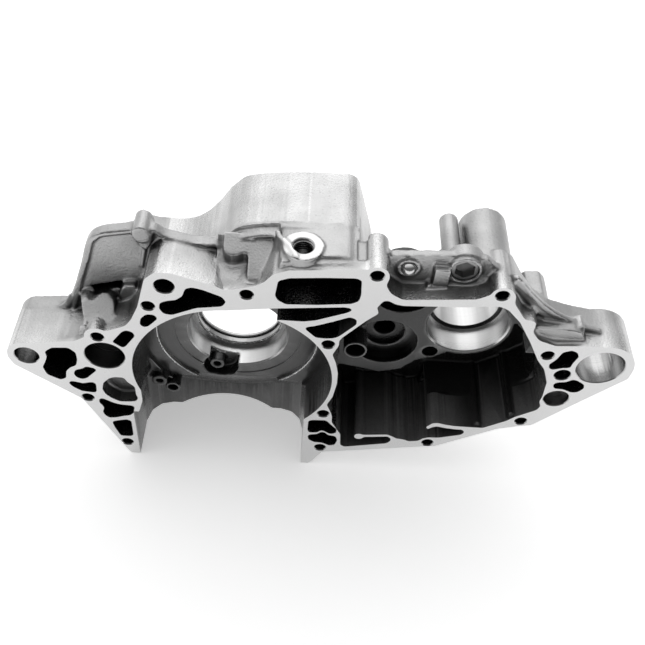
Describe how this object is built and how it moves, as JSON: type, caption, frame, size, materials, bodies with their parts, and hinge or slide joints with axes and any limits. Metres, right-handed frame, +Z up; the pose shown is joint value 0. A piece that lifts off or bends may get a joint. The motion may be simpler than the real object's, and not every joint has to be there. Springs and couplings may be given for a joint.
{
  "type": "engine crankcase half",
  "caption": "Left crankcase half of a small single-cylinder engine: crank and gear chambers, joint face, swingarm pivot boss and sump block.",
  "frame": {"origin": "where the cylinder axis meets the cylinder deck, in the plane of the joint face", "axes": "+X from the front mounting hole to the swingarm pivot, -Y out of the joint face, +Z up, away from the deck"},
  "size_m": [0.3919, 0.08, 0.2075],
  "materials": {
    "casting": "cast and machined",
    "ball": "ground",
    "plug": "machined"
  },
  "bodies": {
    "root": {"crankcase": "casting", "gallery_ball": "ball", "gallery_plug": "plug"}
  },
  "joints": []
}
